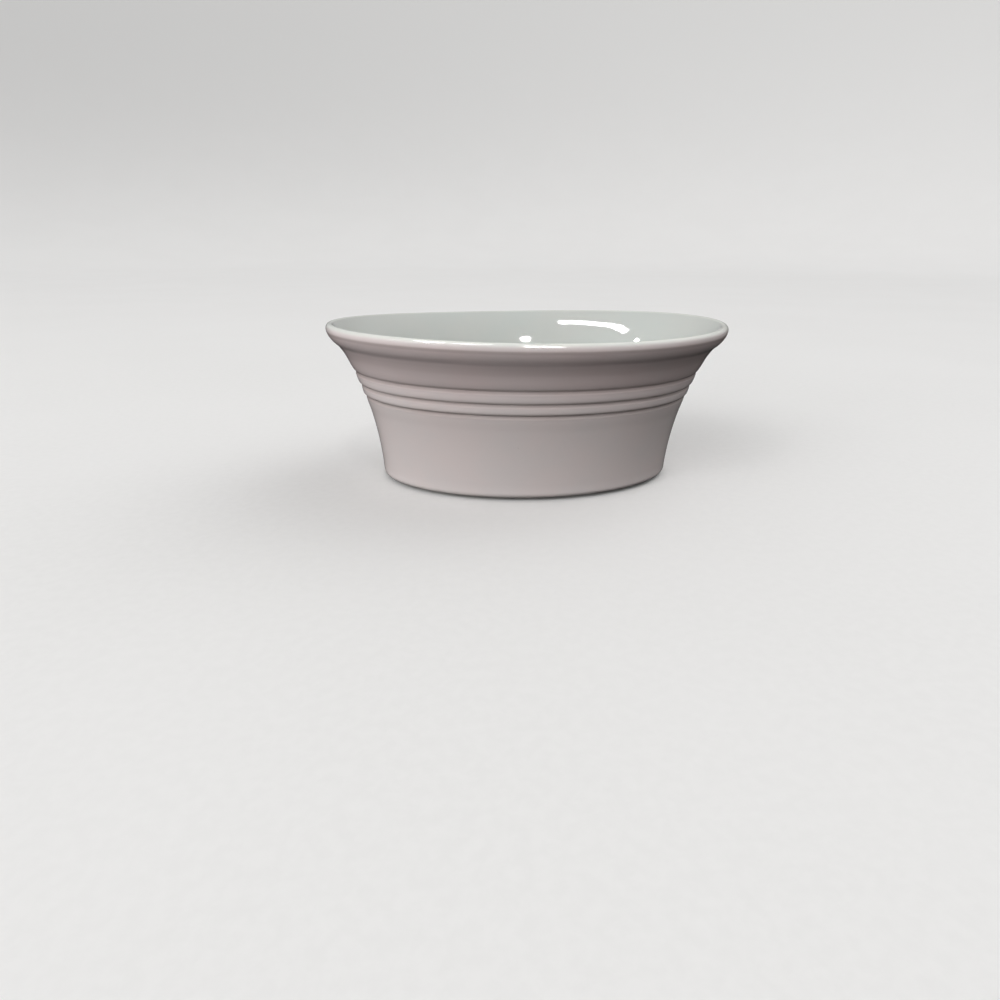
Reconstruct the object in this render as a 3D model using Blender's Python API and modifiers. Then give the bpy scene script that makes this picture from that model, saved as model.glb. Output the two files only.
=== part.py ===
"""Oval casserole dish: a fired clay body with a bare foot ring, the glossy glaze coat over it,
and the glaze patch inside the foot ring. Metres, +Z up, the foot stands on Z = 0, long axis on X.

Every level of the dish is an oval section. Its half-width is always the same amount less than its
half-length, so the wall leans outward by the same amount all the way round.
"""

import math

import bmesh
import bpy

# ---------------------------------------------------------------- driving dimensions (metres)
HALF_LENGTH = 0.1000  # widest point of the lip, along X
HALF_WIDTH = 0.0726  # widest point of the lip, along Y
HEIGHT = 0.0788  # mean height of the lip's crest
RIM_SADDLE = 0.0009  # the two ends of the rim stand this much higher, and the long sides lower
FULLNESS_RIM = 0.018  # how far the rim's oval stands outside an ellipse, half way between its axes
FULLNESS_FOOT = -0.010  # and the foot's, as a share of its size

WALL = 0.0048  # overall wall thickness
FLOOR_TOP = 0.0072  # glazed floor inside the bowl
BOWL_RADIUS = 0.0150  # curve between the bowl's floor and its wall

GLAZE = 0.0005  # thickness of the glaze
GAP = 0.0003  # clearance between the glaze and the clay

CORNER_RADIUS = 0.0030  # rounded lower edge of the glazed wall
CORNER_LIFT = 0.0010  # how far that edge stays above the table
FOOT_OUTER = 0.0708  # bare foot ring, half-lengths of its outer and inner edges
FOOT_INNER = 0.0656
FOOT_CHAMFER = 0.0004
RECESS = 0.0021  # height of the clay underside inside the foot ring

# The wall's line, half-length and height, as a curve with four control points.
WALL_LINE = ((0.0759, 0.0040), (0.0776, 0.0347), (0.0880, 0.0603), (0.0951, 0.0691))
# The lip's outer side, from the neck to its widest point, and its inner side down to the wall.
LIP_OUTSIDE = ((0.0951, 0.0691), (0.0977, 0.0707), (0.1003, 0.0744), (0.1000, 0.0768))
LIP_CREST = 0.0980  # half-length of the highest line of the lip
LIP_INNER_RADIUS = 0.0022
LIP_INNER_TURN = 45.0  # degrees that the lip turns over before it meets the inside wall
INSIDE_JOIN = 0.0595  # height where the inside wall becomes parallel to the outside

GROOVES = (0.05590, 0.04945, 0.04380)  # heights of the three grooves
GROOVE_DEPTH = 0.0006
GROOVE_HALF_WIDTH = 0.0012
BAND_BULGE = 0.00042  # how far the two bands between the grooves stand proud
# The wall also swells a little above and below the bands: half the reach, and how much.
SWELL_ABOVE = (0.0041, 0.00022)
SWELL_BELOW = (0.0038, 0.00012)

SEGMENTS = 48  # round the oval


# ---------------------------------------------------------------- profile helpers
def bezier(points, count):
    """Points on a cubic curve, both ends included."""
    (x0, z0), (x1, z1), (x2, z2), (x3, z3) = points
    out = []
    for i in range(count):
        t = i / (count - 1)
        a, b, c, d = (1 - t) ** 3, 3 * (1 - t) ** 2 * t, 3 * (1 - t) * t * t, t**3
        out.append(
            (a * x0 + b * x1 + c * x2 + d * x3, a * z0 + b * z1 + c * z2 + d * z3)
        )
    return out


def arc(centre, radius, start, stop, count):
    """Points on an arc, angles in degrees from +X towards +Z, both ends included."""
    out = []
    for i in range(count):
        a = math.radians(start + (stop - start) * i / (count - 1))
        out.append((centre[0] + radius * math.cos(a), centre[1] + radius * math.sin(a)))
    return out


def at_height(line, z):
    """Half-length of a rising line at height z, and the line's slope there."""
    for (xa, za), (xb, zb) in zip(line, line[1:]):
        if za <= z <= zb:
            return xa + (xb - xa) * (z - za) / (zb - za), (xb - xa) / (zb - za)
    raise ValueError("height outside the line")


def relief(z):
    """How far the surface stands off the wall's line at height z: the bands and the grooves."""
    top, middle, low = GROOVES
    out = 0.0
    for a, b in ((middle, top), (low, middle)):
        if a <= z <= b:
            u = (2 * z - a - b) / (b - a)
            out += BAND_BULGE * (1 - u * u)
    for start, sign, (reach, height) in ((top, 1, SWELL_ABOVE), (low, -1, SWELL_BELOW)):
        u = (sign * (z - start) - reach) / reach
        if -1 < u < 1:
            out += height * (1 - u * u) ** 2
    for groove in GROOVES:
        u = abs(z - groove) / GROOVE_HALF_WIDTH
        if u < 1:
            out -= GROOVE_DEPTH * (1 - u)
    return out


def outside_wall():
    """The glazed wall from the top of the foot's corner to the neck under the lip."""
    line = bezier(WALL_LINE, 121)
    heights = [WALL_LINE[0][1], 0.0120, 0.0215, 0.0300, GROOVES[2] - 2 * SWELL_BELOW[0], 0.0402]
    for groove in reversed(GROOVES):
        heights += [groove - GROOVE_HALF_WIDTH, groove, groove + GROOVE_HALF_WIDTH]
        if groove != GROOVES[0]:
            after = GROOVES[GROOVES.index(groove) - 1]
            heights.append((groove + after) / 2)
    heights += [GROOVES[0] + SWELL_ABOVE[0], GROOVES[0] + 2 * SWELL_ABOVE[0], 0.0672]
    heights.append(WALL_LINE[-1][1])
    points = []
    for z in heights:
        x, slope = at_height(line, z)
        scale = 1 / math.hypot(1, slope)
        off = relief(z)
        points.append((x + off * scale, z - off * slope * scale))
    return points


def inside_wall():
    """From the lip's crest down the inside to the edge of the bowl's flat floor."""
    line = bezier(WALL_LINE, 121)

    def parallel(z_out):
        x, slope = at_height(line, z_out)
        scale = WALL / math.hypot(1, slope)
        return (x - scale, z_out + scale * slope), slope

    crest = arc(
        (LIP_CREST, HEIGHT - LIP_INNER_RADIUS),
        LIP_INNER_RADIUS,
        90,
        90 + LIP_INNER_TURN,
        3,
    )
    z_out = INSIDE_JOIN - WALL * 0.42
    (xj, zj), slope = parallel(z_out)
    reach = 0.0065
    turn = math.radians(LIP_INNER_TURN)
    steep = math.atan(slope)
    xa, za = crest[-1]
    flare = bezier(
        (
            (xa, za),
            (xa - reach * math.sin(turn), za - reach * math.cos(turn)),
            (xj + reach * math.sin(steep), zj + reach * math.cos(steep)),
            (xj, zj),
        ),
        4,
    )
    rest = []
    for z in (0.0480, 0.0370, 0.0280):
        rest.append(parallel(z)[0])
    # The wall's foot curves into the floor.
    (xw, _), slope = parallel(FLOOR_TOP + BOWL_RADIUS - 0.0005)
    bend = arc(
        (xw - BOWL_RADIUS, FLOOR_TOP + BOWL_RADIUS),
        BOWL_RADIUS,
        0,
        -90,
        6,
    )
    return crest[1:] + flare[1:] + rest + bend


def glazed_profile():
    """The whole visible skin, from the glaze line under the foot's corner to the bowl's floor."""
    x0, z0 = WALL_LINE[0]
    corner = arc(
        (x0 - CORNER_RADIUS, CORNER_LIFT + CORNER_RADIUS), CORNER_RADIUS, -90, 0, 5
    )
    start = [(FOOT_OUTER + 0.0009, CORNER_LIFT)]
    lip = bezier(LIP_OUTSIDE, 5)
    widest_x, widest_z = LIP_OUTSIDE[-1]
    crest = []
    for i in range(1, 4):
        a = math.radians(90 * i / 3)
        crest.append(
            (
                LIP_CREST + (widest_x - LIP_CREST) * math.cos(a),
                widest_z + (HEIGHT - widest_z) * math.sin(a),
            )
        )
    return (
        start + corner[:-1] + outside_wall() + lip[1:] + crest + inside_wall()
    )


def offset(profile, distance):
    """The profile moved into the wall by distance, with mitred corners."""
    out = []
    for i, (x, z) in enumerate(profile):
        before = profile[max(i - 1, 0)]
        after = profile[min(i + 1, len(profile) - 1)]
        normals = []
        for (xa, za), (xb, zb) in ((before, (x, z)), ((x, z), after)):
            length = math.hypot(xb - xa, zb - za)
            if length > 1e-9:
                normals.append((-(zb - za) / length, (xb - xa) / length))
        nx = sum(n[0] for n in normals)
        nz = sum(n[1] for n in normals)
        size = math.hypot(nx, nz)
        nx, nz = nx / size, nz / size
        reach = distance / max(nx * normals[0][0] + nz * normals[0][1], 0.5)
        out.append((x + nx * reach, z + nz * reach))
    return out


# ---------------------------------------------------------------- oval sections
def oval_ring(x, z):
    """The points of one oval section with half-length x at height z."""
    half_width = x - (HALF_LENGTH - HALF_WIDTH)
    rise = max(0.0, min(1.0, z / HEIGHT))
    fullness = FULLNESS_FOOT + (FULLNESS_RIM - FULLNESS_FOOT) * rise
    points = []
    for i in range(SEGMENTS):
        a = 2 * math.pi * i / SEGMENTS
        size = 1 + fullness * math.sin(2 * a) ** 2
        lift = RIM_SADDLE * math.cos(2 * a) * rise * x / HALF_LENGTH
        points.append(
            (
                x * size * math.cos(a),
                half_width * size * math.sin(a),
                z + (lift if z > 0.0035 else 0.0),
            )
        )
    return points


def loft(name, profile, close_start, close_end):
    """A surface through the oval sections of a profile. A closed end gets a flat face, inside
    one more ring of half the end's size."""
    bm = bmesh.new()
    sections = [oval_ring(x, z) for x, z in profile]
    if close_start:
        sections.insert(0, [(x / 2, y / 2, z) for x, y, z in sections[0]])
    if close_end:
        sections.append([(x / 2, y / 2, z) for x, y, z in sections[-1]])
    rings = [[bm.verts.new(p) for p in section] for section in sections]
    for lower, upper in zip(rings, rings[1:]):
        for i in range(SEGMENTS):
            j = (i + 1) % SEGMENTS
            bm.faces.new((lower[i], lower[j], upper[j], upper[i]))
    if close_start:
        bm.faces.new(list(reversed(rings[0])))
    if close_end:
        bm.faces.new(rings[-1])
    bmesh.ops.recalc_face_normals(bm, faces=bm.faces[:])
    mesh = bpy.data.meshes.new(name)
    bm.to_mesh(mesh)
    bm.free()
    mesh.shade_smooth()
    mesh.set_sharp_from_angle(angle=math.radians(40))
    obj = bpy.data.objects.new(name, mesh)
    return obj


def material(name, colour, roughness, coat=0.0):
    mat = bpy.data.materials.new(name)
    mat.use_nodes = True
    shader = mat.node_tree.nodes["Principled BSDF"]
    shader.inputs["Base Color"].default_value = (*colour, 1.0)
    shader.inputs["Roughness"].default_value = roughness
    shader.inputs["Metallic"].default_value = 0.0
    shader.inputs["Coat Weight"].default_value = coat
    return mat


# ---------------------------------------------------------------- pieces
def stoneware_body():
    """The clay: the glazed skin moved in by the glaze and its clearance, closed by the foot."""
    skin = offset(glazed_profile(), GLAZE + GAP)
    # The bare foot ring takes the place of the start of that line.
    foot = [
        (FOOT_INNER - 0.0008, RECESS),
        (FOOT_INNER, RECESS - 0.0008),
        (FOOT_INNER, FOOT_CHAMFER),
        (FOOT_INNER + FOOT_CHAMFER, 0.0),
        (FOOT_OUTER - FOOT_CHAMFER, 0.0),
        (FOOT_OUTER, FOOT_CHAMFER),
        (FOOT_OUTER, CORNER_LIFT + GLAZE + GAP),
    ]
    return loft("stoneware_body", foot + skin[1:], close_start=True, close_end=True)


def main():
    for obj in list(bpy.data.objects):
        bpy.data.objects.remove(obj, do_unlink=True)

    parts = bpy.data.collections.new("oval_casserole_dish")
    bpy.context.scene.collection.children.link(parts)

    origin = bpy.data.objects.new("dish_origin", None)
    origin.empty_display_size = 0.02
    parts.objects.link(origin)

    clay = material("fired_clay", (0.83, 0.78, 0.70), 0.85)
    glossy = material("gloss_glaze", (0.85, 0.77, 0.75), 0.08, coat=0.3)
    patch = material("base_glaze", (0.74, 0.69, 0.67), 0.12, coat=0.2)

    body = stoneware_body()
    body.data.materials.append(clay)

    coat = loft("glaze_coat", glazed_profile(), close_start=False, close_end=True)
    coat.data.materials.append(glossy)
    shell = coat.modifiers.new("glaze_thickness", "SOLIDIFY")
    shell.thickness = GLAZE
    shell.offset = -1.0
    shell.use_even_offset = True

    edge = FOOT_INNER - 0.0012
    under = loft(
        "base_glaze",
        [(edge, RECESS - GAP - GLAZE), (edge, RECESS - GAP)],
        close_start=True,
        close_end=True,
    )
    under.data.materials.append(patch)

    for obj in (body, coat, under):
        parts.objects.link(obj)
        obj.parent = origin


main()
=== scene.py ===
"""The looks of the oval casserole dish: one glazed skin over a fired clay body with a bare foot
ring, and the glaze patch inside that ring. Metres, +Z up, the foot stands on Z = 0, long axis on X.

Every level of the dish is an oval section whose half-width is a fixed amount less than its
half-length. A single line, from the glaze's edge at the foot up the outside, over the lip and
down to the middle of the bowl, gives the skin; the clay lies a glaze's thickness under it.
"""

import math

import bpy
import numpy as np
from mathutils import Matrix, Vector, noise


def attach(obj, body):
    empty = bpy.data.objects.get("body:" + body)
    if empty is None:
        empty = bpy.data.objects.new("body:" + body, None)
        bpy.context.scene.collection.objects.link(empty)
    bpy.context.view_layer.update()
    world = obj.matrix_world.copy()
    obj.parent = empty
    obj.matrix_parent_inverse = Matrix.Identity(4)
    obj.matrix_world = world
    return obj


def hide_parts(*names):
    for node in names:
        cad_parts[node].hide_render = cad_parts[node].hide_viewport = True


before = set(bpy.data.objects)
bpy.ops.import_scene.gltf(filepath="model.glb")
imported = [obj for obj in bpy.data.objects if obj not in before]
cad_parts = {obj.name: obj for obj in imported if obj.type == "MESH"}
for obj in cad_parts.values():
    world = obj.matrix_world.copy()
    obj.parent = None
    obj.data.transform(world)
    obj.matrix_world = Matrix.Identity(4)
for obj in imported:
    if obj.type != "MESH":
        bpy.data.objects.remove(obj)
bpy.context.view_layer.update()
scene = bpy.context.scene

# ---------------------------------------------------------------- sizes, in metres
HALF_LENGTH = 0.1000
INSET = 0.0274  # half-length less half-width, the same at every level
HEIGHT = 0.0788
RIM_SADDLE = 0.0009  # the ends of the rim stand higher than its long sides
RIM_TWIST = 0.0005  # and it is twisted a little, as fired ware is
FULLNESS_RIM = 0.018  # how far the ovals stand outside an ellipse, half way between their axes
FULLNESS_FOOT = -0.010

WALL = 0.0048
FLOOR_TOP = 0.0072
BOWL_RADIUS = 0.0150
CORNER_RADIUS = 0.0031
CORNER_LIFT = 0.0010
FOOT_OUTER = 0.0708
FOOT_INNER = 0.0656
RECESS = 0.0021
SKIN = 0.00050  # thickness of the glaze
SEAM = 0.00004  # between the glaze and the clay

WALL_LINE = ((0.0759, 0.0040), (0.0776, 0.0347), (0.0880, 0.0603), (0.0951, 0.0691))
LIP_OUTSIDE = ((0.0951, 0.0691), (0.0977, 0.0707), (0.1003, 0.0744), (0.1000, 0.0768))
LIP_CREST = 0.0980
LIP_INNER_RADIUS = 0.0022
LIP_INNER_TURN = 45.0
INSIDE_JOIN = 0.0595
CREASE_FILLET = 0.0022  # the glaze rounds the crease under the lip

GROOVES = (0.05590, 0.04945, 0.04380)
GROOVE_DEPTH = 0.00052
GROOVE_HALF_WIDTH = 0.00155
BAND_BULGE = 0.00042
SWELL_ABOVE = (0.0041, 0.00022)  # the wall swells a little above and below the bands
SWELL_BELOW = (0.0038, 0.00012)

# The glaze is darker in the grooves and on the neck and lighter over the bands and the lip: partly glaze
# run thick and thin, partly painted shade in the grooves and on the neck and painted light on the bands
# and the lip.
GROOVE_POOL_AND_SHADE = (0.66, 0.62, 0.66)
GROOVE_POOL_AND_SHADE_REACH = 0.00150
GROOVE_POOL_AND_SHADE_SAG = (0.00080, 0.00050, -0.00010)  # how far the dark mark, partly pooled glaze and partly painted shade, hangs below each groove
THIN_AND_LIT_BANDS, THIN_AND_LIT_LIP = (1.30, 0.80), 1.0
BAND_LEAN = 0.00030  # each band's lower edge stands a little prouder than its upper edge
# Painted light and shade, as slow changes of the tone level along the wall's height: lighter at the foot
# and under the lip, darker on the neck and the lip's outer face. height, thickness.
PAINTED_LIGHT_AND_SHADE_BY_HEIGHT = (
    (0.0000, -0.50),
    (0.0050, -0.35),
    (0.0090, 0.00),
    (0.0550, 0.00),
    (0.0575, 0.16),
    (0.0592, 0.02),
    (0.0620, 0.17),
    (0.0670, 0.20),
    (0.0688, 0.00),
    (0.0700, -0.90),
    (0.0712, -0.90),
    (0.0725, -0.55),
    (0.0737, -0.10),
    (0.0745, 0.46),
    (0.0753, 0.46),
    (0.0760, 0.00),
)
# A painted warm tint of the shade along the wall's height, strongest on the neck and under the lip:
# height, warmth.
SHADE_WARMTH_BY_HEIGHT = (
    (0.0000, 0.00),
    (0.0430, 0.05),
    (0.0500, 0.30),
    (0.0560, 0.60),
    (0.0600, 0.90),
    (0.0660, 1.00),
    (0.0745, 0.90),
    (0.0765, 0.30),
    (0.0775, 0.00),
)

SEGMENTS = 288  # round the oval


# ---------------------------------------------------------------- the profile
def bezier(points, count):
    p = np.array(points)
    t = np.linspace(0, 1, count)[:, None]
    return (
        (1 - t) ** 3 * p[0]
        + 3 * (1 - t) ** 2 * t * p[1]
        + 3 * (1 - t) * t * t * p[2]
        + t**3 * p[3]
    )


def arc(centre, radius, start, stop, count):
    a = np.radians(np.linspace(start, stop, count))
    return np.stack(
        [centre[0] + radius * np.cos(a), centre[1] + radius * np.sin(a)], -1
    )


WALL_CURVE = bezier(WALL_LINE, 600)


def wall_at(z):
    """Half-length of the wall's line at height z, and its slope."""
    x = np.interp(z, WALL_CURVE[:, 1], WALL_CURVE[:, 0])
    slope = np.interp(
        z, WALL_CURVE[:, 1], np.gradient(WALL_CURVE[:, 0], WALL_CURVE[:, 1])
    )
    return x, slope


def relief(z):
    """How far the surface stands off the wall's line: two rounded bands between three grooves."""
    top, middle, low = GROOVES
    out = np.zeros_like(z)
    for a, b in ((middle, top), (low, middle)):
        u = np.clip((2 * z - a - b) / (b - a), -1, 1)
        out += BAND_BULGE * (1 - u * u) - BAND_LEAN * u * (1 - u * u)
    for start, sign, (reach, height) in ((top, 1, SWELL_ABOVE), (low, -1, SWELL_BELOW)):
        u = np.clip((sign * (z - start) - reach) / reach, -1, 1)
        out += height * (1 - u * u) ** 2
    for groove in GROOVES:
        u = np.clip(np.abs(z - groove) / GROOVE_HALF_WIDTH, 0, 1)
        # A V whose bottom and shoulders the glaze has rounded.
        out -= GROOVE_DEPTH * (0.55 * (1 - u) ** 1.5 + 0.45 * 0.5 * (1 + np.cos(math.pi * u)))
    return out


def outside_line():
    x0, z0 = WALL_LINE[0]
    lean = math.degrees(math.atan(wall_at(z0)[1]))
    a = math.radians(lean)
    centre = (x0 - CORNER_RADIUS * math.cos(a), z0 + CORNER_RADIUS * math.sin(a))
    corner = arc(centre, CORNER_RADIUS, -90, -lean, 22)
    edge = np.array([[FOOT_OUTER + 0.0009, corner[0, 1]]])
    fine = [np.linspace(z0, 0.0425, 30)]
    marks = sorted(GROOVES)
    for i, groove in enumerate(marks):
        reach = GROOVE_HALF_WIDTH * 1.15
        fine.append(np.linspace(groove - reach, groove + reach, 19))
        if i + 1 < len(marks):
            fine.append(np.linspace(groove + reach, marks[i + 1] - reach, 8)[1:-1])
    fine.append(np.linspace(marks[-1] + GROOVE_HALF_WIDTH * 1.15, WALL_LINE[-1][1], 24)[1:])
    z = np.unique(np.round(np.concatenate(fine), 7))
    x, slope = wall_at(z)
    scale = 1 / np.hypot(1, slope)
    off = relief(z)
    wall = np.stack([x + off * scale, z - off * slope * scale], -1)
    lip = bezier(LIP_OUTSIDE, 24)[1:]
    return np.concatenate([edge, corner, wall[1:], lip])


def crest_line():
    widest_x, widest_z = LIP_OUTSIDE[-1]
    a = np.radians(np.linspace(0, 90, 14)[1:])
    outer = np.stack(
        [
            LIP_CREST + (widest_x - LIP_CREST) * np.cos(a),
            widest_z + (HEIGHT - widest_z) * np.sin(a),
        ],
        -1,
    )
    inner = arc(
        (LIP_CREST, HEIGHT - LIP_INNER_RADIUS),
        LIP_INNER_RADIUS,
        90,
        90 + LIP_INNER_TURN,
        10,
    )[1:]
    return np.concatenate([outer, inner])


def inside_line(start):
    def parallel(z_out):
        x, slope = wall_at(z_out)
        scale = WALL / np.hypot(1, slope)
        return np.array([x - scale, z_out + scale * slope]), slope

    join, slope = parallel(INSIDE_JOIN - WALL * 0.42)
    turn, steep, reach = math.radians(LIP_INNER_TURN), math.atan(slope), 0.0065
    flare = bezier(
        (
            start,
            (start[0] - reach * math.sin(turn), start[1] - reach * math.cos(turn)),
            (join[0] + reach * math.sin(steep), join[1] + reach * math.cos(steep)),
            join,
        ),
        22,
    )
    # The side ends where the bend of the bowl's floor touches it.
    low = FLOOR_TOP + BOWL_RADIUS
    for _ in range(12):
        end, slope = parallel(low)
        lean = math.atan(slope)
        low += FLOOR_TOP + BOWL_RADIUS * (1 - math.sin(lean)) - end[1]
    centre = (end[0] - BOWL_RADIUS * math.cos(lean), FLOOR_TOP + BOWL_RADIUS)
    wall = [parallel(z)[0] for z in np.linspace(INSIDE_JOIN - WALL * 0.42, low, 30)[1:-1]]
    bend = arc(centre, BOWL_RADIUS, -math.degrees(lean), -90, 22)
    return np.concatenate([flare[1:], np.array(wall), bend])


def smooth_line(points, radius, centre, reach):
    """Rounds the line near a point of it, by averaging along its length."""
    step = np.hypot(*np.diff(points, axis=0).T)
    d = np.r_[0, np.cumsum(step)]
    near = np.argmin(np.hypot(points[:, 0] - centre[0], points[:, 1] - centre[1]))
    fine = np.linspace(d[near] - reach, d[near] + reach, 41)
    wide = np.linspace(-radius, radius, 21)
    weights = np.cos(wide / radius * math.pi / 2) ** 2
    out = []
    for t in fine:
        fade = 1 - min(1.0, abs(t - d[near]) / reach) ** 4
        s = t + wide * fade
        out.append(
            [
                np.average(np.interp(s, d, points[:, k]), weights=weights)
                for k in (0, 1)
            ]
        )
    return np.array([*points[d < fine[0]], *out, *points[d > fine[-1]]])


def skin_line():
    outside = outside_line()
    crest = crest_line()
    inside = inside_line(crest[-1])
    line = np.concatenate([outside, crest, inside])
    line = smooth_line(line, CREASE_FILLET, WALL_LINE[-1], 0.0034)
    # The bowl's side runs into the bend of its floor without an edge.
    turn = FLOOR_TOP + BOWL_RADIUS
    return smooth_line(line, 0.0030, (wall_at(turn)[0] - WALL, turn), 0.0080)


def moved_in(line, distance, soften):
    """The line moved into the wall, with its small relief softened so that it can't fold."""
    d = np.r_[0, np.cumsum(np.hypot(*np.diff(line, axis=0).T))]
    even = np.arange(0, d[-1], 0.0005)
    x, z = np.interp(even, d, line[:, 0]), np.interp(even, d, line[:, 1])
    for _ in range(soften):
        x[1:-1] = (x[:-2] + 2 * x[1:-1] + x[2:]) / 4
        z[1:-1] = (z[:-2] + 2 * z[1:-1] + z[2:]) / 4
    tx, tz = np.gradient(x), np.gradient(z)
    size = np.hypot(tx, tz)
    return np.stack([x - tz / size * distance, z + tx / size * distance], -1)


# ---------------------------------------------------------------- ovals and lofts
def oval(x, z, share=1.0):
    """One section of half-length x at height z. share < 1 shrinks it, inside the bowl's floor."""
    rise = min(1.0, max(0.0, z / HEIGHT))
    fullness = FULLNESS_FOOT + (FULLNESS_RIM - FULLNESS_FOOT) * rise
    a = np.arange(SEGMENTS) * 2 * math.pi / SEGMENTS
    size = share * (1 + fullness * np.sin(2 * a) ** 2)
    lift = (RIM_SADDLE * np.cos(2 * a) + RIM_TWIST * np.sin(2 * a)) * rise * x / HALF_LENGTH
    lift *= min(1.0, max(0.0, (z - 0.0015) / 0.004)) * share
    return np.stack(
        [x * size * np.cos(a), (x - INSET) * size * np.sin(a), z + lift], -1
    )


def loft(name, sections, values, closed):
    """A surface through ovals. closed joins the last section to the first; otherwise each end is a small
    oval that gets a flat face. values holds, for each section, a tone level (-1 to 1) that is partly how
    thick the glaze has run there and partly painted light and shade, how far the section is on the bowl's
    side, and a painted warm tint of the shade there (0 to 1)."""
    count = len(sections)
    verts = np.concatenate(sections)
    a = np.arange(SEGMENTS)
    b = (a + 1) % SEGMENTS
    faces = []
    for i in range(count if closed else count - 1):
        j = (i + 1) % count
        faces.append(
            np.stack(
                [
                    i * SEGMENTS + a,
                    i * SEGMENTS + b,
                    j * SEGMENTS + b,
                    j * SEGMENTS + a,
                ],
                -1,
            )
        )
    faces = [tuple(int(k) for k in f) for f in np.concatenate(faces)]
    if not closed:
        faces.append(tuple(int(k) for k in a[::-1]))
        faces.append(tuple(int(k) for k in a + (count - 1) * SEGMENTS))
    mesh = bpy.data.meshes.new(name)
    mesh.from_pydata([tuple(v) for v in verts], [], faces)
    mesh.update()
    mesh.shade_smooth()
    for key, column in (("run_and_shade_level", 0), ("bowl_side", 1), ("shade_warmth", 2)):
        level = mesh.attributes.new(key, "FLOAT", "POINT")
        level.data.foreach_set(
            "value", np.repeat(np.array(values, np.float32)[:, column], SEGMENTS)
        )
    obj = bpy.data.objects.new(name, mesh)
    scene.collection.objects.link(obj)
    return obj


def glaze_run_and_shade(line):
    """For each point of the skin's line: a tone level from -1, lighter, on the proud parts to 1, darker,
    in the hollows, partly how thick the glaze has run there and partly painted light and shade; how far
    the point is on the bowl's side of the lip; and a painted warm tint of the shade, from 0 on the wall
    and in the bowl to 1 on the neck."""
    d = np.r_[0, np.cumsum(np.hypot(*np.diff(line, axis=0).T))]
    top = np.argmax(line[:, 1])
    along = d - d[top]
    z = line[:, 1]
    outside = along < 0
    # Painted light and shade along the height: lighter at the foot and under the lip, darker on the neck
    # and the lip's face.
    run_and_shade = np.interp(z, *np.array(PAINTED_LIGHT_AND_SHADE_BY_HEIGHT).T)
    # Darker in and just below each groove: partly pooled glaze, partly painted shade.
    for groove, sag, pool_and_shade in zip(GROOVES, GROOVE_POOL_AND_SHADE_SAG, GROOVE_POOL_AND_SHADE):
        run_and_shade += pool_and_shade * np.exp(-(((z - groove + sag) / GROOVE_POOL_AND_SHADE_REACH) ** 2))
    # Lighter over the bands: partly thin glaze, partly painted light.
    for a, b, thin_and_lit in zip(GROOVES[1:], GROOVES[:-1], THIN_AND_LIT_BANDS):
        u = np.clip((2 * z - a - b) / (b - a), -1, 1)
        run_and_shade -= thin_and_lit * (1 - u * u) ** 1.9 * (1 - 0.1 * u)
    run_and_shade *= outside
    # Lighter over the lip's crest: partly thin glaze, partly painted light.
    run_and_shade -= THIN_AND_LIT_LIP * np.clip((along + 0.0046) / 0.0010, 0, 1) * np.clip((0.0016 - along) / 0.0012, 0, 1)
    side = np.clip((along + 0.0032) / 0.0020, 0, 1)
    side = side * side * (3 - 2 * side)
    # A painted warm tint on the shaded neck and lip.
    shade_warmth = np.interp(z, *np.array(SHADE_WARMTH_BY_HEIGHT).T) * outside
    return np.stack([np.clip(run_and_shade, -1, 1), side, shade_warmth], -1)


def uneven(obj, amount, size):
    """Moves the points along their normals by a smooth, slow unevenness."""
    mesh = obj.data
    co = np.zeros(len(mesh.vertices) * 3, np.float32)
    no = np.zeros(len(mesh.vertices) * 3, np.float32)
    mesh.vertices.foreach_get("co", co)
    mesh.vertex_normals.foreach_get("vector", no)
    co, no = co.reshape(-1, 3), no.reshape(-1, 3)
    for i in range(len(co)):
        p = Vector(co[i]) / size
        n = noise.noise(p) + 0.4 * noise.noise(p * 2.3 + Vector((7.1, 2.9, 4.4)))
        steady = min(1.0, max(0.0, (co[i][2] - 0.001) / 0.006))
        co[i] += no[i] * n * amount * steady
    mesh.vertices.foreach_set("co", co.ravel())
    mesh.update()


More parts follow.
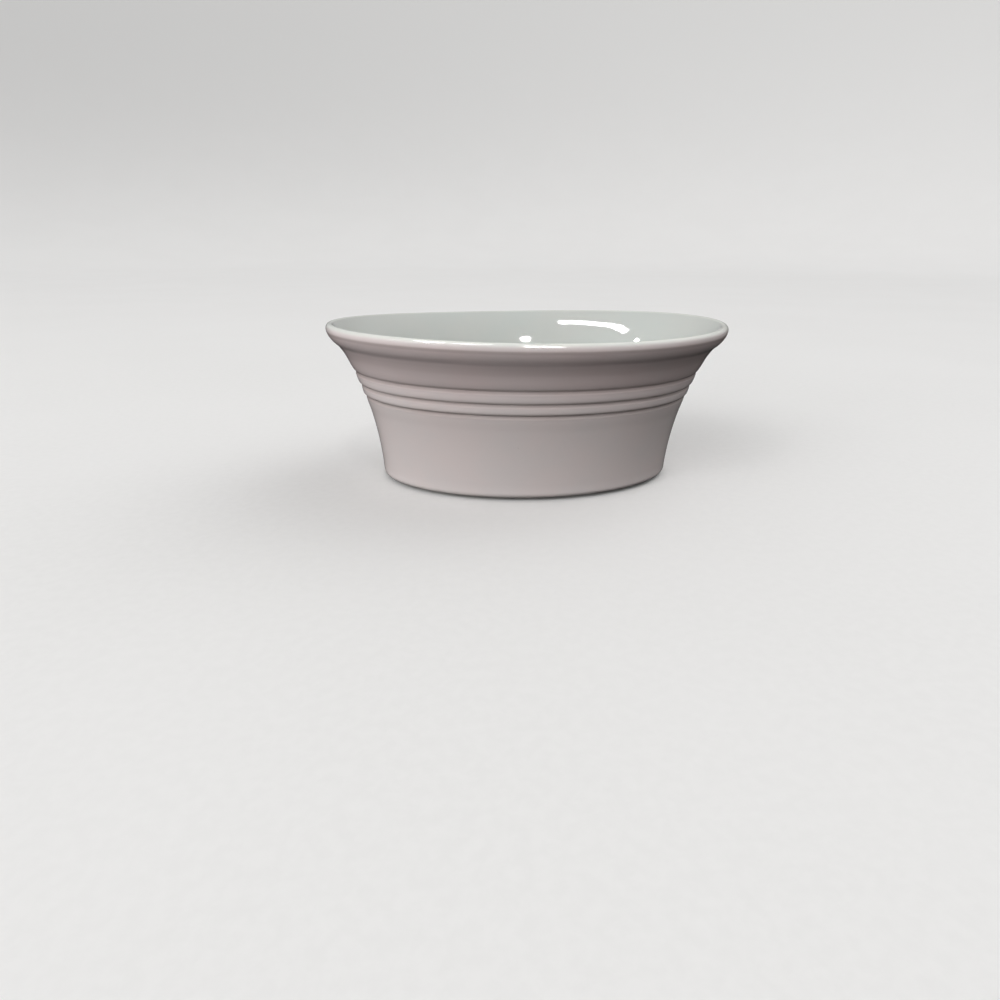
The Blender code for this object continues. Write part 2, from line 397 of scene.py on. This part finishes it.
# ---------------------------------------------------------------- materials
class Nodes:
    """Builds one material's nodes."""

    def __init__(self, name):
        self.mat = bpy.data.materials.new(name)
        self.mat.use_nodes = True
        self.tree = self.mat.node_tree
        self.shader = self.tree.nodes["Principled BSDF"]
        self.coords = self.tree.nodes.new("ShaderNodeTexCoord").outputs["Object"]

    def link(self, a, b):
        self.tree.links.new(a, b)

    def noise(self, scale, detail=2.0, rough=0.5, lacunarity=2.0):
        n = self.tree.nodes.new("ShaderNodeTexNoise")
        n.inputs["Scale"].default_value = scale
        n.inputs["Detail"].default_value = detail
        n.inputs["Roughness"].default_value = rough
        n.inputs["Lacunarity"].default_value = lacunarity
        self.link(self.coords, n.inputs["Vector"])
        return n.outputs["Fac"]

    def cells(self, scale, feature="F1", output="Distance"):
        n = self.tree.nodes.new("ShaderNodeTexVoronoi")
        n.feature = feature
        n.inputs["Scale"].default_value = scale
        self.link(self.coords, n.inputs["Vector"])
        return n.outputs[output]

    def attribute(self, name):
        n = self.tree.nodes.new("ShaderNodeAttribute")
        n.attribute_name = name
        return n.outputs["Fac"]

    def remap(self, value, low, high, to_low=0.0, to_high=1.0, smooth=True):
        n = self.tree.nodes.new("ShaderNodeMapRange")
        n.interpolation_type = "SMOOTHSTEP" if smooth else "LINEAR"
        for key, v in (
            ("From Min", low),
            ("From Max", high),
            ("To Min", to_low),
            ("To Max", to_high),
        ):
            n.inputs[key].default_value = v
        self.link(value, n.inputs["Value"])
        return n.outputs["Result"]

    def math(self, kind, a, b=None):
        n = self.tree.nodes.new("ShaderNodeMath")
        n.operation = kind
        for i, v in enumerate((a, b)):
            if v is None:
                continue
            if isinstance(v, (int, float)):
                n.inputs[i].default_value = v
            else:
                self.link(v, n.inputs[i])
        return n.outputs[0]

    def mix(self, factor, a, b):
        n = self.tree.nodes.new("ShaderNodeMix")
        n.data_type = "RGBA"
        self.link(factor, n.inputs["Factor"])
        for key, v in (("A", a), ("B", b)):
            socket = next(s for s in n.inputs if s.name == key and s.type == "RGBA")
            if isinstance(v, tuple):
                socket.default_value = (*v, 1.0)
            else:
                self.link(v, socket)
        return next(s for s in n.outputs if s.type == "RGBA")

    def bump(self, height, distance, strength=1.0, below=None):
        n = self.tree.nodes.new("ShaderNodeBump")
        n.inputs["Strength"].default_value = strength
        n.inputs["Distance"].default_value = distance
        self.link(height, n.inputs["Height"])
        if below is not None:
            self.link(below, n.inputs["Normal"])
        return n.outputs["Normal"]

    def set(self, **values):
        for key, v in values.items():
            socket = self.shader.inputs[key.replace("_", " ")]
            if isinstance(v, (int, float)):
                socket.default_value = v
            elif isinstance(v, tuple):
                socket.default_value = (*v, 1.0)
            else:
                self.link(v, socket)


GLAZE_OUTSIDE = (0.850, 0.765, 0.748)
# The bowl's side of the skin gets its own cooler, darker colour than the outside.
GLAZE_BOWL = (0.602, 0.623, 0.596)
# The thin colours are partly thin glaze and partly painted light.
GLAZE_THIN_AND_LIT = (0.965, 0.880, 0.862)
GLAZE_THIN_AND_LIT_BOWL = (0.885, 0.892, 0.842)
# The pooled colour is partly pooled glaze and partly painted shade.
GLAZE_POOLED_AND_SHADED = (0.405, 0.332, 0.316)
SHADE_WARM_TINT = (1.0, 0.937, 0.940)  # what the colour is multiplied by where the painted warm tint of the shade is full


def gloss_glaze(name, base, bowl, thin_and_lit, thin_and_lit_bowl, pooled_and_shaded, gloss=0.035):
    m = Nodes(name)
    # The tone level is partly glaze run and partly painted light and shade.
    run_and_shade_level = m.attribute("run_and_shade_level")
    mottle = m.noise(38.0, 3.0, 0.55)
    cloud = m.noise(160.0, 2.0, 0.5)
    wander = m.math("MULTIPLY_ADD", mottle, 0.16)
    wander.node.inputs[2].default_value = -0.08
    level = m.math("ADD", run_and_shade_level, wander)
    side = m.attribute("bowl_side")
    colour = m.mix(side, base, bowl)
    # Towards the pooled colour: partly pooled glaze, partly painted shade.
    colour = m.mix(m.remap(level, 0.04, 1.0, smooth=False), colour, pooled_and_shaded)
    # Towards the thin colour: partly thin glaze, partly painted light.
    colour = m.mix(
        m.remap(level, -0.04, -1.0, smooth=False), colour, m.mix(side, thin_and_lit, thin_and_lit_bowl)
    )
    # Slow, faint drifts of tone.
    drift = m.mix(m.remap(mottle, 0.32, 0.68), (0.972, 0.984, 0.984), (1.0, 0.988, 0.984))
    # A painted warm tint of the shade on the neck and lip.
    shade_tint = m.mix(m.attribute("shade_warmth"), (1.0, 1.0, 1.0), SHADE_WARM_TINT)
    for tint in (drift, shade_tint):
        tinted = m.tree.nodes.new("ShaderNodeMix")
        tinted.data_type = "RGBA"
        tinted.blend_type = "MULTIPLY"
        tinted.inputs["Factor"].default_value = 1.0
        socket = [s for s in tinted.inputs if s.type == "RGBA"]
        m.link(colour, socket[0])
        m.link(tint, socket[1])
        colour = next(s for s in tinted.outputs if s.type == "RGBA")
    # A few tiny specks that show through from the clay.
    seeds = m.cells(210.0)
    chance = m.cells(210.0, output="Color")
    split = m.tree.nodes.new("ShaderNodeSeparateColor")
    m.link(chance, split.inputs[0])
    rare = m.remap(split.outputs[0], 0.955, 0.985)
    dot = m.math("MULTIPLY", m.remap(seeds, 0.075, 0.030), rare)
    colour = m.mix(m.math("MULTIPLY", dot, 0.45), colour, (0.40, 0.345, 0.30))
    rough = m.remap(cloud, 0.25, 0.75, gloss - 0.008, gloss + 0.012, smooth=False)
    orange = m.noise(240.0, 2.0, 0.5)
    micro = m.noise(1400.0, 2.0, 0.6)
    normal = m.bump(orange, 0.000010)
    normal = m.bump(micro, 0.0000012, below=normal)
    pit = m.math("MULTIPLY", m.remap(m.cells(330.0), 0.085, 0.02), m.remap(split.outputs[1], 0.93, 0.99))
    normal = m.bump(m.math("MULTIPLY", pit, -1.0), 0.00008, below=normal)
    m.set(
        Base_Color=colour,
        Roughness=rough,
        Normal=normal,
        IOR=1.58,
        Specular_IOR_Level=0.5,
        Coat_Weight=0.0,
    )
    return m.mat


def bare_clay(name):
    m = Nodes(name)
    grain = m.noise(900.0, 4.0, 0.65)
    blotch = m.noise(70.0, 3.0, 0.55)
    colour = m.mix(m.remap(grain, 0.30, 0.70), (0.62, 0.575, 0.51), (0.80, 0.765, 0.70))
    colour = m.mix(
        m.math("MULTIPLY", m.remap(blotch, 0.45, 0.75), 0.35), colour, (0.66, 0.60, 0.515)
    )
    seeds = m.cells(520.0)
    chance = m.cells(520.0, output="Color")
    split = m.tree.nodes.new("ShaderNodeSeparateColor")
    m.link(chance, split.inputs[0])
    dots = m.math(
        "MULTIPLY", m.remap(seeds, 0.20, 0.08), m.remap(split.outputs[0], 0.86, 0.92)
    )
    colour = m.mix(m.math("MULTIPLY", dots, 0.6), colour, (0.33, 0.27, 0.21))
    normal = m.bump(grain, 0.00006)
    normal = m.bump(blotch, 0.00010, below=normal)
    m.set(
        Base_Color=colour,
        Roughness=m.remap(grain, 0.3, 0.7, 0.78, 0.92, smooth=False),
        Normal=normal,
        IOR=1.5,
        Specular_IOR_Level=0.35,
    )
    return m.mat


# ---------------------------------------------------------------- pieces
def floor_sections(x, z, shares, dish):
    """Sections of a flat floor, from its edge towards its middle."""
    return [oval(x, z - dish * (1 - s * s) ** 2, s) for s in shares]


def glaze_skin():
    line = skin_line()
    values = [tuple(v) for v in glaze_run_and_shade(line)]
    sections = [oval(x, z) for x, z in line]
    shares = (0.95, 0.88, 0.78, 0.66, 0.54, 0.42, 0.30, 0.20, 0.12, 0.06, 0.02, 0.004)
    x, z = line[-1]
    sections += floor_sections(x, z, shares, 0.0002)
    values += [(0.0, 1.0, 0.0)] * len(shares)
    # The hidden side of the glaze, back from the middle of the floor to the foot.
    back = moved_in(line, SKIN, 3)
    keep = np.r_[0, 3 : len(back) - 2 : 4, len(back) - 1]
    back = back[keep]
    bx, bz = back[-1]
    lower = floor_sections(bx, bz, shares[::2], 0.0002)
    sections += lower[::-1]
    values += [(0.0, 1.0, 0.0)] * len(lower)
    sections += [oval(px, pz) for px, pz in back[::-1]]
    values += [(0.0, 0.0, 0.0)] * len(back)
    # The rounded edge of the glaze at the foot.
    ends = np.array([line[0], back[0]])
    mid = ends.mean(0)
    out = mid + np.array([-0.45 * SKIN, 0.0])
    quarter = [(ends[1] * 0.8 + out * 0.55 + mid * -0.35), out, (ends[0] * 0.8 + out * 0.55 + mid * -0.35)]
    sections += [oval(px, pz) for px, pz in quarter]
    values += [(0.3, 0.0, 0.0)] * 3
    return loft("glaze_skin", sections, values, closed=True), len(line)


obj, skin_rows = glaze_skin()
uneven(obj, 0.00005, 0.026)
obj.data.materials.append(
    gloss_glaze(
        "glaze", GLAZE_OUTSIDE, GLAZE_BOWL, GLAZE_THIN_AND_LIT, GLAZE_THIN_AND_LIT_BOWL, GLAZE_POOLED_AND_SHADED
    )
)
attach(obj, "root")
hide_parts("glaze_coat")


def clay_body():
    line = moved_in(skin_line(), SKIN + SEAM, 3)
    line = line[::4]
    top = CORNER_LIFT + SKIN
    ring = [
        (FOOT_INNER - 0.0011, RECESS),
        (FOOT_INNER - 0.0003, RECESS - 0.0003),
        (FOOT_INNER, RECESS - 0.0010),
        (FOOT_INNER, 0.0006),
        (FOOT_INNER + 0.00012, 0.0002),
        (FOOT_INNER + 0.0005, 0.0),
        (FOOT_OUTER - 0.0005, 0.0),
        (FOOT_OUTER - 0.00012, 0.0002),
        (FOOT_OUTER, 0.0006),
        (FOOT_OUTER, top),
    ]
    shares = (0.02, 0.10, 0.25, 0.45, 0.65, 0.82, 0.93)
    sections = [oval(*ring[0], s) for s in shares]
    sections += [oval(x, z) for x, z in ring]
    sections += [oval(x, z) for x, z in line[1:]]
    sections += [oval(*line[-1], s) for s in shares[::-1]]
    return loft("clay_foot_body", sections, [(0.0, 0.0, 0.0)] * len(sections), closed=False)


clay = clay_body()
clay.data.materials.append(bare_clay("bare_clay"))
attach(clay, "root")
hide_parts("stoneware_body")


def under_patch():
    edge = FOOT_INNER - 0.0012
    low, high = RECESS - SEAM - 0.0005, RECESS - SEAM
    shares = (0.02, 0.10, 0.25, 0.45, 0.65, 0.82, 0.93)
    sections = [oval(edge - 0.0004, low, s) for s in shares]
    sections += [
        oval(edge - 0.0004, low),
        oval(edge - 0.0001, low + 0.00012),
        oval(edge, low + 0.00028),
        oval(edge - 0.0001, high),
    ]
    sections += [oval(edge - 0.0001, high, s) for s in shares[::-1]]
    return loft("under_glaze", sections, [(0.0, 0.0, 0.0)] * len(sections), closed=False)


patch = under_patch()
patch.data.materials.append(
    gloss_glaze(
        "glaze_underside",
        (0.74, 0.69, 0.67),
        GLAZE_BOWL,
        GLAZE_THIN_AND_LIT,
        GLAZE_THIN_AND_LIT_BOWL,
        GLAZE_POOLED_AND_SHADED,
        0.12,
    )
)
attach(patch, "root")
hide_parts("base_glaze")


# ---------------------------------------------------------------- camera
DISTANCE = 0.3445
CAMERA_HEIGHT = 0.1158
TURN = math.radians(7.03)  # the dish stands turned by this much in front of the camera
AIM = math.radians(4.77)  # heading of the view, clockwise from +Y in the dish's frame
PITCH = math.radians(21.23)
ROLL = math.radians(0.28)

data = bpy.data.cameras.new("camera")
data.sensor_width = 36.0
data.lens = 23.76
data.clip_start, data.clip_end = 0.01, 40.0
camera = bpy.data.objects.new("camera", data)
scene.collection.objects.link(camera)
right = Vector((math.cos(AIM), -math.sin(AIM), 0))
forward = Vector(
    (math.cos(PITCH) * math.sin(AIM), math.cos(PITCH) * math.cos(AIM), -math.sin(PITCH))
)
up = right.cross(forward)
rolled_right = math.cos(ROLL) * right + math.sin(ROLL) * up
rolled_up = math.cos(ROLL) * up - math.sin(ROLL) * right
where = Vector((-DISTANCE * math.sin(TURN), -DISTANCE * math.cos(TURN), CAMERA_HEIGHT))
m = Matrix((rolled_right, rolled_up, -forward)).transposed().to_4x4()
m.translation = where
camera.matrix_world = m
scene.camera = camera


# ---------------------------------------------------------------- floor and backdrop
def backdrop():
    """A round, level floor that sweeps up into a backdrop far behind the dish, all the way round."""
    rows = [(0.0, 0.0)] + [(r, 0.0) for r in (0.15, 0.4, 0.9, 1.6, 2.4, 3.0)]
    rows += [
        (3.0 + 1.5 * math.sin(a), 1.5 - 1.5 * math.cos(a))
        for a in np.radians(np.linspace(7.5, 90, 12))
    ]
    rows += [(4.5, z) for z in (2.2, 3.2, 4.5)]
    count = 96
    verts, faces = [(0.0, 0.0, 0.0)], []
    for r, z in rows[1:]:
        for i in range(count):
            a = 2 * math.pi * i / count
            verts.append((r * math.cos(a), r * math.sin(a), z))
    for i in range(count):
        faces.append((0, 1 + i, 1 + (i + 1) % count))
    for k in range(len(rows) - 2):
        for i in range(count):
            j = (i + 1) % count
            a, b = 1 + k * count, 1 + (k + 1) * count
            faces.append((a + i, b + i, b + j, a + j))
    mesh = bpy.data.meshes.new("studio_floor")
    mesh.from_pydata(verts, [], faces)
    mesh.update()
    mesh.shade_smooth()
    floor = bpy.data.objects.new("studio_floor", mesh)
    floor.location.z = -0.00003
    scene.collection.objects.link(floor)
    return floor


def floor_paper():
    m = Nodes("floor_paper")
    fibre = m.noise(260.0, 3.0, 0.6)
    broad = m.noise(5.0, 2.0, 0.5)
    colour = m.mix(m.remap(fibre, 0.3, 0.7), (0.838, 0.832, 0.822), (0.858, 0.852, 0.842))
    colour = m.mix(m.math("MULTIPLY", m.remap(broad, 0.3, 0.7), 0.4), colour, (0.872, 0.866, 0.857))
    # The backdrop glows a little where it rises, so that it stays even.
    place = m.tree.nodes.new("ShaderNodeTexCoord")
    height = m.tree.nodes.new("ShaderNodeSeparateXYZ")
    m.link(place.outputs["Object"], height.inputs[0])
    up = m.remap(height.outputs["Z"], 0.0, 1.6)
    m.set(
        Base_Color=m.mix(up, colour, (0.36, 0.357, 0.352)),
        Emission_Color=(1.0, 0.995, 0.985),
        Emission_Strength=m.math("MULTIPLY", up, 0.42),
        Roughness=0.82,
        Normal=m.bump(fibre, 0.00002),
        Specular_IOR_Level=0.25,
    )
    return m.mat


floor = backdrop()
floor.data.materials.append(floor_paper())
# The studio's light on the dish is set by the sky and the lamps alone.
floor.visible_diffuse = False
floor.visible_glossy = False
floor.visible_shadow = False


# ---------------------------------------------------------------- light
SKY_IN_GLAZE = 0.3


def sky(lobes, below):
    """Soft light from all round: broad lobes above the horizon, each (direction, power, colour),
    and an even colour below it, as a dark table gives back."""
    world = bpy.data.worlds.new("studio")
    world.use_nodes = True
    tree = world.node_tree
    background = tree.nodes["Background"]
    coords = tree.nodes.new("ShaderNodeTexCoord").outputs["Generated"]
    parts = tree.nodes.new("ShaderNodeSeparateXYZ")
    tree.links.new(coords, parts.inputs[0])
    horizon = tree.nodes.new("ShaderNodeMapRange")
    horizon.interpolation_type = "SMOOTHSTEP"
    horizon.inputs["From Min"].default_value = -0.06
    horizon.inputs["From Max"].default_value = 0.14
    tree.links.new(parts.outputs["Z"], horizon.inputs["Value"])
    total = None
    for direction, power, colour in lobes:
        dot = tree.nodes.new("ShaderNodeVectorMath")
        dot.operation = "DOT_PRODUCT"
        tree.links.new(coords, dot.inputs[0])
        dot.inputs[1].default_value = Vector(direction).normalized()
        clip = tree.nodes.new("ShaderNodeMath")
        clip.operation = "MAXIMUM"
        tree.links.new(dot.outputs["Value"], clip.inputs[0])
        clip.inputs[1].default_value = 0.0
        sharp = tree.nodes.new("ShaderNodeMath")
        sharp.operation = "POWER"
        tree.links.new(clip.outputs[0], sharp.inputs[0])
        sharp.inputs[1].default_value = power
        scaled = tree.nodes.new("ShaderNodeVectorMath")
        scaled.operation = "SCALE"
        scaled.inputs[0].default_value = colour
        tree.links.new(sharp.outputs[0], scaled.inputs["Scale"])
        add = tree.nodes.new("ShaderNodeVectorMath")
        add.operation = "ADD"
        if total is None:
            add.inputs[0].default_value = (0.0, 0.0, 0.0)
        else:
            tree.links.new(total, add.inputs[0])
        tree.links.new(scaled.outputs[0], add.inputs[1])
        total = add.outputs[0]
    both = tree.nodes.new("ShaderNodeMix")
    both.data_type = "VECTOR"
    tree.links.new(horizon.outputs["Result"], both.inputs["Factor"])
    sockets = [s for s in both.inputs if s.type == "VECTOR" and s.name in "AB"]
    sockets[0].default_value = below
    tree.links.new(total, sockets[1])
    result = next(s for s in both.outputs if s.type == "VECTOR")
    tree.links.new(result, background.inputs["Color"])
    # The glaze mirrors the soft lights only faintly, as in a dark room; the lamps it mirrors fully.
    ray = tree.nodes.new("ShaderNodeLightPath")
    share = tree.nodes.new("ShaderNodeMath")
    share.operation = "MULTIPLY_ADD"
    tree.links.new(ray.outputs["Is Glossy Ray"], share.inputs[0])
    share.inputs[1].default_value = SKY_IN_GLAZE - 1.0
    share.inputs[2].default_value = 1.0
    tree.links.new(share.outputs[0], background.inputs["Strength"])
    scene.world = world


def lamp(name, where, aim, size, colour, power, shape="RECTANGLE", turn=0.0):
    data = bpy.data.lights.new(name, "AREA")
    data.shape = shape
    data.size, data.size_y = size
    data.color = colour
    data.energy = power
    obj = bpy.data.objects.new(name, data)
    scene.collection.objects.link(obj)
    z = (Vector(where) - Vector(aim)).normalized()
    x = Vector((math.cos(turn), math.sin(turn), 0))
    x = (x - z * x.dot(z)).normalized()
    m = Matrix((x, z.cross(x), z)).transposed().to_4x4()
    m.translation = Vector(where)
    obj.matrix_world = m
    obj.visible_camera = False
    return obj


def soft(direction, power, level):
    return direction, power, (level, level, level)


sky(
    [
        soft((-0.664, -0.664, 0.342), 14.0, 4.17),
        soft((-0.940, -0.340, 0.070), 14.0, 0.50),
        soft((-0.340, -0.940, 0.070), 14.0, 0.15),
        soft((-0.542, -0.542, 0.643), 14.0, 0.63),
        soft((-1.0, 0.0, 0.25), 2.0, 0.68),
        soft((1.0, 0.0, 0.25), 2.0, 0.53),
        soft((0.0, 1.0, 0.30), 2.0, 0.33),
        soft((0.0, 1.0, 0.10), 8.0, 0.90),
        soft((1.0, 0.0, 1.0), 4.0, 0.50),
        soft((0.470, 0.171, 0.866), 14.0, 0.85),
        soft((0.750, 0.433, 0.500), 14.0, 1.23),
    ],
    (0.029, 0.029, 0.029),
)


def apart(name, where, aim, size, shape, turn, glow, glint):
    """A lamp as two: what it lights, and what is seen of it in the glaze. Radiances."""
    area = size[0] * size[1] * (math.pi / 4 if shape == "ELLIPSE" else 1.0)
    for part, level in (("glow", glow), ("glint", glint)):
        if level == 0.0:
            continue
        power = level * math.pi * area
        near = Vector(where).lerp(Vector(aim), 0.01 if part == "glint" else 0.0)
        obj = lamp(name + "_" + part, near, aim, size, (1.0, 1.0, 1.0), power, shape, turn)
        obj.visible_diffuse = part == "glow"
        obj.visible_glossy = part == "glint"
        obj.visible_transmission = False


def tube(name, where, size, turn, glow, glint):
    """A long ceiling light that shines straight down."""
    x, y, z = where
    apart(name, where, (x, y, 0.0), size, "RECTANGLE", math.radians(turn), glow, glint)


def bulb(name, where, wide, high, glow, glint):
    """A small lamp that looks wide x high degrees from the dish."""
    aim = (0.0, 0.0, 0.07)
    far = math.dist(where, aim)
    size = [2 * far * math.tan(math.radians(v / 2)) for v in (wide, high)]
    turn = math.atan2(where[1], where[0]) + math.pi / 2
    apart(name, where, aim, size, "ELLIPSE", turn, glow, glint)


tube("ceiling_tube", (-0.605, -0.675, 2.2), (0.82, 0.17), 158, 0.0, 60.0)
tube("ceiling_tube_end", (-1.200, -0.520, 2.2), (0.40, 0.24), 180, 0.0, 60.0)
bulb("lamp_front", (0.10, -1.76, 2.2), 2.8, 4.8, 60.0, 250.0)
bulb("lamp_left", (-2.04, -0.43, 2.2), 3.8, 3.0, 0.0, 250.0)
bulb("lamp_front_left", (-1.88, -1.69, 2.2), 2.6, 2.6, 70.0, 250.0)
bulb("lamp_far_front", (0.49, -2.30, 2.2), 12.0, 3.0, 0.0, 200.0)


# ---------------------------------------------------------------- how colours are shown
scene.view_settings.view_transform = "Standard"
scene.view_settings.look = "None"
